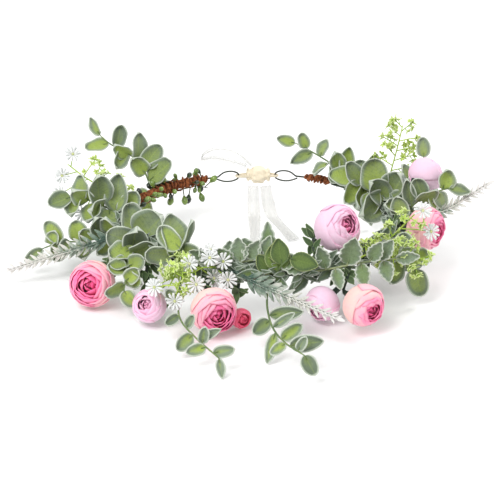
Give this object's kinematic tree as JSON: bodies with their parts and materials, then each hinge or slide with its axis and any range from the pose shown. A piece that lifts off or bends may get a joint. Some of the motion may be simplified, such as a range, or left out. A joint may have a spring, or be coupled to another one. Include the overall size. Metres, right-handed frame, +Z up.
{
  "type": "flower crown",
  "caption": "Wire ring hair crown dressed with roses, leaf sprigs, white daisies and tipped spikes, tied at the back with a sheer ribbon.",
  "frame": {"origin": "middle of the crown's floor outline, at the level of whatever it lies on", "axes": "+X along the crown's width to the right as seen from the front, -Y towards its front, +Z up out of the ring"},
  "size_m": [0.3192, 0.2694, 0.0862],
  "materials": {
    "wire_green": "dark green floral tape on steel wire, dull",
    "vine_paper": "twisted rust-brown paper strip, matt and fibrous",
    "stem_tape": "dark green crepe stem tape, matt",
    "ribbon_cream": "sheer cream organza",
    "berry_green": "glossy moulded berries",
    "spike_white": "blue-green foliage with white flocked tips",
    "daisy_white": "white moulded petals on fresh green stems",
    "filler_green": "fresh yellow-green moulded foliage",
    "leaf_dusty": "pale flocked leaf with a whitish toothed edge",
    "leaf_rose": "dark green printed leaf",
    "leaf_flocked": "grey-green flocked leaf with a pale rim",
    "rose_stem": "dark green stem, calyx and collar",
    "petal_heart_lilac": "soft printed petal fabric",
    "petal_heart_pink": "soft printed petal fabric, hot pink",
    "petal_coral": "soft printed petal fabric, coral",
    "petal_lilac": "soft printed petal fabric, lilac",
    "petal_pink": "soft printed petal fabric, pink fading to peach"
  },
  "bodies": {
    "root": {"berries_back": "berry_green", "berries_side": "berry_green", "core_wire": "wire_green", "daisy_spray_centre": "daisy_white", "daisy_spray_left": "daisy_white", "daisy_spray_middle": "daisy_white", "daisy_spray_right": "daisy_white", "dusty_sprig_front": "leaf_dusty", "dusty_sprig_right": "leaf_dusty", "green_filler_centre": "filler_green", "green_filler_front": "filler_green", "green_filler_right": "filler_green", "leaf_sprig_centre_left": "leaf_flocked", "leaf_sprig_hanging_front": "leaf_flocked", "leaf_sprig_hanging_left": "leaf_flocked", "leaf_sprig_left_front": "leaf_flocked", "leaf_sprig_left_lower": "leaf_flocked", "leaf_sprig_left_top": "leaf_flocked", "leaf_sprig_left_upper": "leaf_flocked", "leaf_sprig_right_back": "leaf_flocked", "leaf_sprig_right_front": "leaf_flocked", "leaf_sprig_right_inner": "leaf_flocked", "leaf_sprig_right_outer": "leaf_flocked", "leaf_sprig_right_top": "leaf_flocked", "ribbon_bow_loop": "ribbon_cream", "ribbon_knot": "ribbon_cream", "rose_centre_stem": "rose_stem", "rose_front_back_stem": "rose_stem", "rose_inner_stem": "rose_stem", "rose_leaf_sprig": "leaf_rose", "rose_left_bud_stem": "rose_stem", "rose_left_stem": "rose_stem", "rose_right_front_stem": "rose_stem", "rose_right_stem": "rose_stem", "rose_right_top_stem": "rose_stem", "rose_small_bud_stem": "rose_stem", "stem_tape_front": "stem_tape", "stem_tape_left": "stem_tape", "stem_tape_right": "stem_tape", "vine_wrap_back_left": "vine_paper", "vine_wrap_back_right": "vine_paper", "white_spike_front": "spike_white", "white_spike_left": "spike_white", "white_spike_right": "spike_white"},
    "rose_left": {"rose_left_petals": "petal_pink", "rose_left_heart": "petal_heart_pink"},
    "rose_centre": {"rose_centre_petals": "petal_pink", "rose_centre_heart": "petal_heart_pink"},
    "rose_left_bud": {"rose_left_bud_petals": "petal_lilac"},
    "rose_inner": {"rose_inner_petals": "petal_lilac", "rose_inner_heart": "petal_heart_lilac"},
    "rose_front_back": {"rose_front_back_petals": "petal_lilac"},
    "rose_right_front": {"rose_right_front_petals": "petal_pink", "rose_right_front_heart": "petal_heart_pink"},
    "rose_right_top": {"rose_right_top_petals": "petal_lilac"},
    "rose_right": {"rose_right_petals": "petal_pink", "rose_right_heart": "petal_heart_pink"},
    "rose_small_bud": {"rose_small_bud_petals": "petal_coral"},
    "tail_a": {"ribbon_tail_a": "ribbon_cream"},
    "tail_b": {"ribbon_tail_b": "ribbon_cream"}
  },
  "joints": [
    {"name": "rose_left_swivel", "type": "hinge", "parent": "root", "child": "rose_left", "pos_m": [-0.09764, -0.02946, 0.01511], "axis": [-0.1659, -0.9268, 0.3371], "continuous": true},
    {"name": "rose_centre_swivel", "type": "hinge", "parent": "root", "child": "rose_centre", "pos_m": [-0.0218, -0.07018, 0.01661], "axis": [0.3521, -0.9358, -0.0201], "continuous": true},
    {"name": "rose_left_bud_swivel", "type": "hinge", "parent": "root", "child": "rose_left_bud", "pos_m": [-0.06054, -0.05623, 0.01261], "axis": [-0.3249, -0.7628, 0.5591], "continuous": true},
    {"name": "rose_inner_swivel", "type": "hinge", "parent": "root", "child": "rose_inner", "pos_m": [0.05367, -0.0173, 0.04761], "axis": [0.5954, -0.6413, 0.4839], "continuous": true},
    {"name": "rose_front_back_swivel", "type": "hinge", "parent": "root", "child": "rose_front_back", "pos_m": [0.04458, -0.05193, 0.01261], "axis": [-0.6694, -0.6299, -0.3937], "continuous": true},
    {"name": "rose_right_front_swivel", "type": "hinge", "parent": "root", "child": "rose_right_front", "pos_m": [0.06762, -0.0672, 0.01861], "axis": [0.5426, -0.8384, -0.0522], "continuous": true},
    {"name": "rose_right_top_swivel", "type": "hinge", "parent": "root", "child": "rose_right_top", "pos_m": [0.11576, 0.05163, 0.05661], "axis": [0.713, 0.586, 0.385], "continuous": true},
    {"name": "rose_right_swivel", "type": "hinge", "parent": "root", "child": "rose_right", "pos_m": [0.11191, 0.01137, 0.03561], "axis": [0.8486, -0.5227, -0.0818], "continuous": true},
    {"name": "rose_small_bud_swivel", "type": "hinge", "parent": "root", "child": "rose_small_bud", "pos_m": [-0.00555, -0.06139, 0.007], "axis": [0.5185, -0.8446, 0.1332], "continuous": true},
    {"name": "tail_a_swing", "type": "hinge", "parent": "root", "child": "tail_a", "pos_m": [0.00598, 0.12863, 0.02861], "axis": [1, 0, 0], "range_deg": [-25, 110]},
    {"name": "tail_b_swing", "type": "hinge", "parent": "root", "child": "tail_b", "pos_m": [0.00598, 0.12863, 0.02861], "axis": [1, 0, 0], "range_deg": [-25, 110]}
  ]
}
